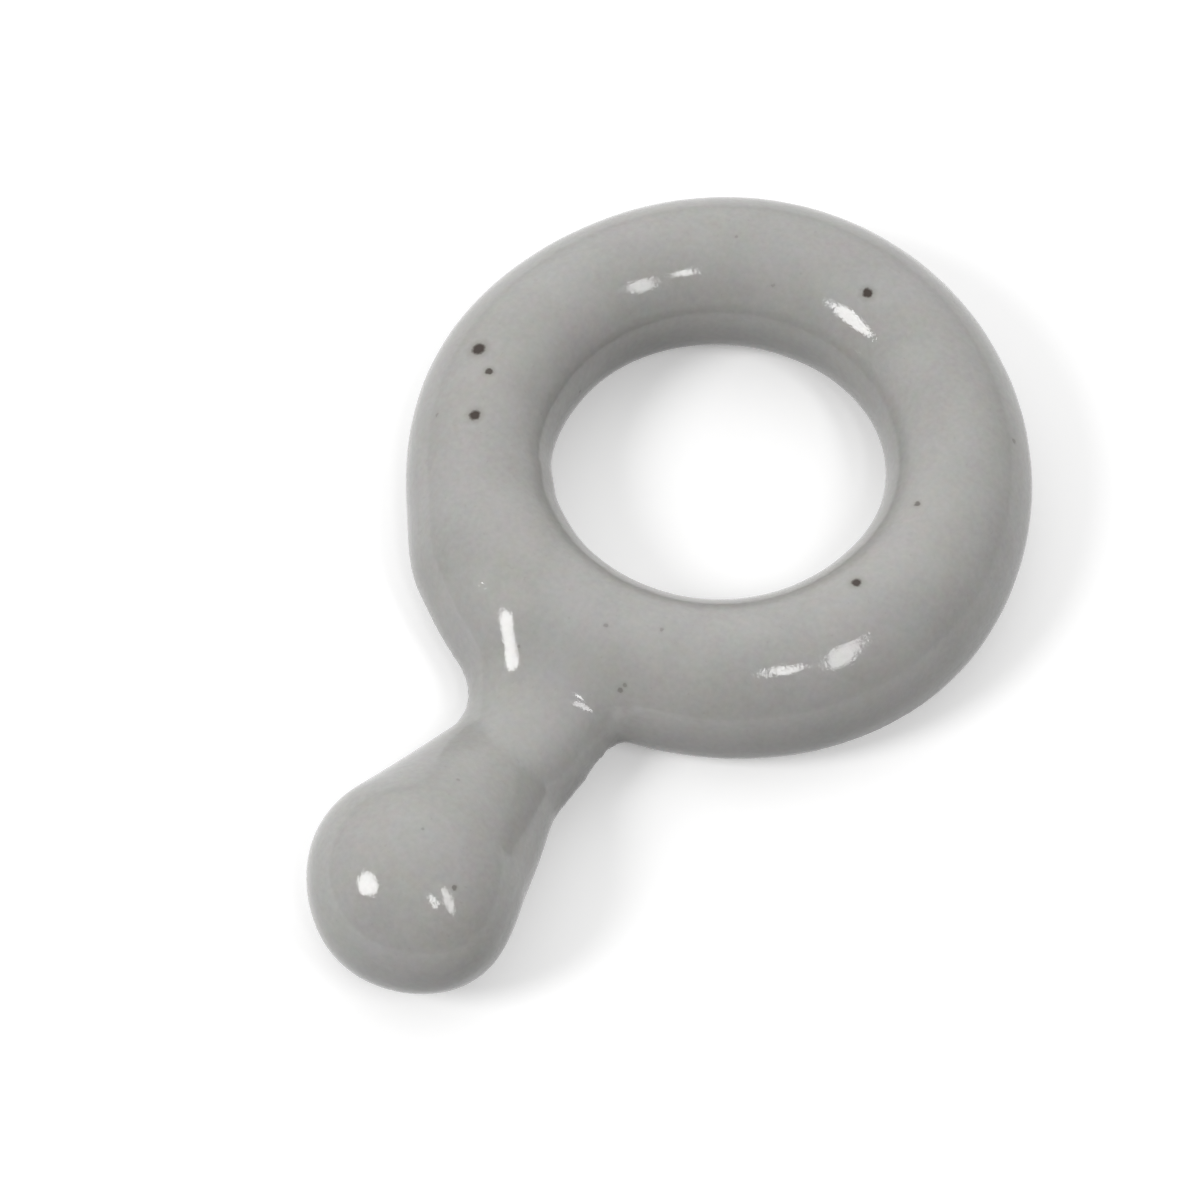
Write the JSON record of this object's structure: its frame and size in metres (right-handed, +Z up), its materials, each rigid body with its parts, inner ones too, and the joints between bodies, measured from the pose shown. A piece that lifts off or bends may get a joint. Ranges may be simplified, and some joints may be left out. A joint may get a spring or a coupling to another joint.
{
  "type": "chopstick rest",
  "caption": "Glazed ceramic chopstick rest: a thick round ring with a drop-shaped tail ending in a ball, whose low neck holds the sticks side by side.",
  "frame": {"origin": "on the table, under the middle of the rest's box", "axes": "+Y from the ball to the ring, +Z up from the table, +X to the right, along the sticks"},
  "size_m": [0.0444, 0.0682, 0.012],
  "materials": {
    "clay_body": "bare fired stoneware, rough",
    "clay_slip": "bare fired slip, rough",
    "glaze": "glossy light grey glaze with a few iron specks"
  },
  "bodies": {
    "root": {"ring_coil": "clay_body", "tail_roll": "clay_body", "ring_closing_slip": "clay_slip", "neck_slip": "clay_slip", "glaze_coat": "glaze"}
  },
  "joints": []
}
